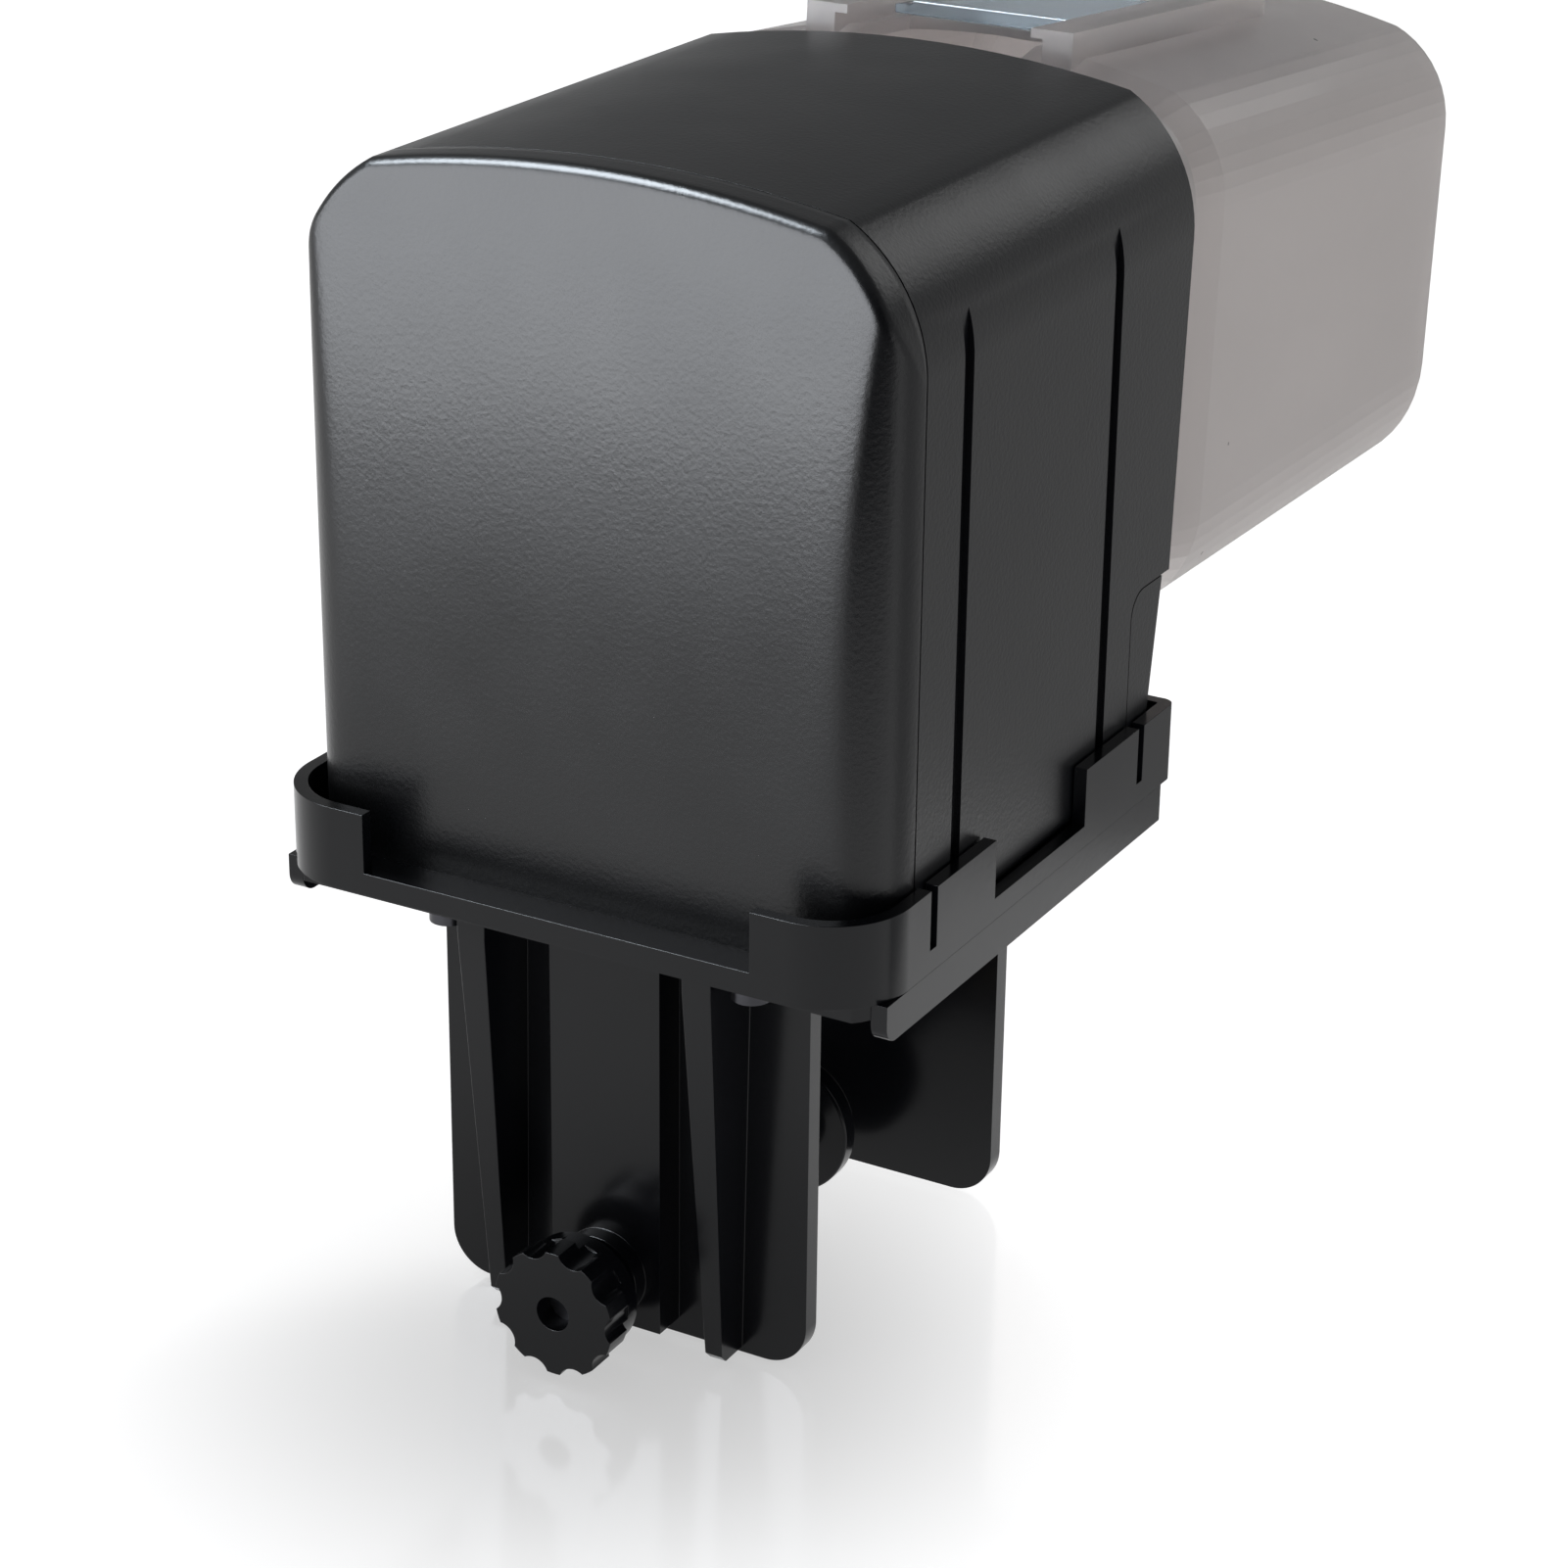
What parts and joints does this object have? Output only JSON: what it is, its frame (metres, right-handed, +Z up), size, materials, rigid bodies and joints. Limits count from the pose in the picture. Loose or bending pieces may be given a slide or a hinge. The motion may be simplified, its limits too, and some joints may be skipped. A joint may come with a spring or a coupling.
{
  "type": "automatic fish feeder",
  "caption": "Battery aquarium feeder: arched body in a tray bracket with a screw clamp for the tank wall, and a turning drum with a shuttered food outlet.",
  "frame": {"origin": "on the fixed jaw's face in the middle of the width, level with the undersides of the two side rails that rest on the tank's top edge", "axes": "+X across the width, +Y towards the drum and over the water, +Z up"},
  "size_m": [0.0724, 0.1585, 0.1316],
  "materials": {
    "black_shell": "fine-grained moulded ABS, almost black",
    "bracket_black": "smooth moulded plastic with a low sheen",
    "smoke_clear": "smoke-tinted translucent plastic",
    "shutter_clear": "clear pale plastic",
    "soft_black": "soft rubber",
    "steel": "plated steel",
    "brass": "turned brass",
    "gear_white": "moulded acetal, off-white",
    "frame_grey": "moulded plastic, dark grey",
    "cam_orange": "moulded acetal, orange",
    "cell_wrap": "printed sleeve, left plain",
    "board_green": "solder-masked board",
    "panel_grey": "fine texture, grey",
    "button_grey": "moulded plastic, light grey",
    "window_clear": "clear lens",
    "lcd": "liquid crystal display, blank"
  },
  "bodies": {
    "bracket": {"bracket_tray": "bracket_black", "clamp_frame": "bracket_black", "front_clamp_plate": "bracket_black", "rear_clamp_plate": "bracket_black", "captive_nut": "brass", "bracket_screws": "steel"},
    "clamp_screw_body": {"clamp_screw": "steel", "clamp_knob": "bracket_black"},
    "clamp_foot": {"pressure_foot": "bracket_black", "foot_cushion": "soft_black"},
    "feeder_body": {"end_cover": "black_shell", "cover_seal": "soft_black", "main_housing": "black_shell", "base_pan": "black_shell", "base_screws": "steel", "battery_holder": "frame_grey", "battery_cells": "cell_wrap", "battery_springs": "steel", "battery_plates": "steel", "control_panel": "panel_grey", "display_window": "window_clear", "display_module": "lcd", "circuit_board": "board_green", "switch_block": "frame_grey", "motor": "steel", "gear_arbors": "steel", "rear_gear_plate": "frame_grey", "front_gear_plate": "frame_grey", "gearbox_screws": "steel", "shaft_bush": "brass", "shaft_seal": "soft_black", "position_switch": "frame_grey"},
    "battery_door_body": {"battery_door": "black_shell"},
    "set_key": {"set_button": "button_grey"},
    "adjust_key": {"adjust_button": "button_grey"},
    "feed_key": {"feed_button": "button_grey"},
    "second_gear_body": {"second_gear": "gear_white"},
    "first_gear_body": {"first_gear": "gear_white"},
    "pinion_body": {"motor_pinion": "brass"},
    "drum": {"output_shaft": "steel", "output_gear": "gear_white", "index_cam": "cam_orange", "drive_hub": "frame_grey", "hub_screw": "steel", "drum_base": "smoke_clear", "drum_shell": "smoke_clear"},
    "shutter_body": {"shutter": "shutter_clear"}
  },
  "joints": [
    {"name": "lift_off", "type": "slide", "parent": "bracket", "child": "feeder_body", "axis": [0, 0, 1], "range_m": [0, 0.016]},
    {"name": "foot_advance", "type": "slide", "parent": "bracket", "child": "clamp_foot", "axis": [0, 1, 0], "range_m": [-0.029, 0.0022]},
    {"name": "screw_turn", "type": "hinge", "parent": "clamp_foot", "child": "clamp_screw_body", "pos_m": [0, -0.03, -0.0387], "axis": [0, 1, 0], "range_deg": [-13100, 1050]},
    {"name": "door_swing", "type": "hinge", "parent": "feeder_body", "child": "battery_door_body", "pos_m": [0, -0.004, 0.0068], "axis": [1, 0, 0], "range_deg": [0, 85]},
    {"name": "set_press", "type": "slide", "parent": "feeder_body", "child": "set_key", "axis": [1, 0, 0], "range_m": [0, 0.001], "stiffness_N_per_m": 200},
    {"name": "adjust_press", "type": "slide", "parent": "feeder_body", "child": "adjust_key", "axis": [1, 0, 0], "range_m": [0, 0.001], "stiffness_N_per_m": 200},
    {"name": "feed_press", "type": "slide", "parent": "feeder_body", "child": "feed_key", "axis": [1, 0, 0], "range_m": [0, 0.001], "stiffness_N_per_m": 200},
    {"name": "drum_spin", "type": "hinge", "parent": "feeder_body", "child": "drum", "pos_m": [0, 0.0162, 0.0508], "axis": [0, 0.9984, -0.0558], "continuous": true},
    {"name": "second_gear_spin", "type": "hinge", "parent": "feeder_body", "child": "second_gear_body", "pos_m": [-0.01409, 0.00793, 0.04612], "axis": [0, 0.9984, -0.0558], "continuous": true},
    {"name": "first_gear_spin", "type": "hinge", "parent": "feeder_body", "child": "first_gear_body", "pos_m": [-0.01184, 0.00564, 0.05907], "axis": [0, 0.9984, -0.0558], "continuous": true},
    {"name": "pinion_spin", "type": "hinge", "parent": "feeder_body", "child": "pinion_body", "pos_m": [-0.00534, 0.00328, 0.07048], "axis": [0, 0.9984, -0.0558], "continuous": true},
    {"name": "shutter_slide", "type": "slide", "parent": "drum", "child": "shutter_body", "axis": [0, 0.9965, -0.0842], "range_m": [-0.0146, 0.012]}
  ],
  "couplings": [
    {"joint": "screw_turn", "follows": "foot_advance", "rad_per_m": 7854},
    {"joint": "second_gear_spin", "follows": "drum_spin", "ratio": -4},
    {"joint": "first_gear_spin", "follows": "drum_spin", "ratio": 13.333},
    {"joint": "pinion_spin", "follows": "drum_spin", "ratio": -44.444}
  ]
}
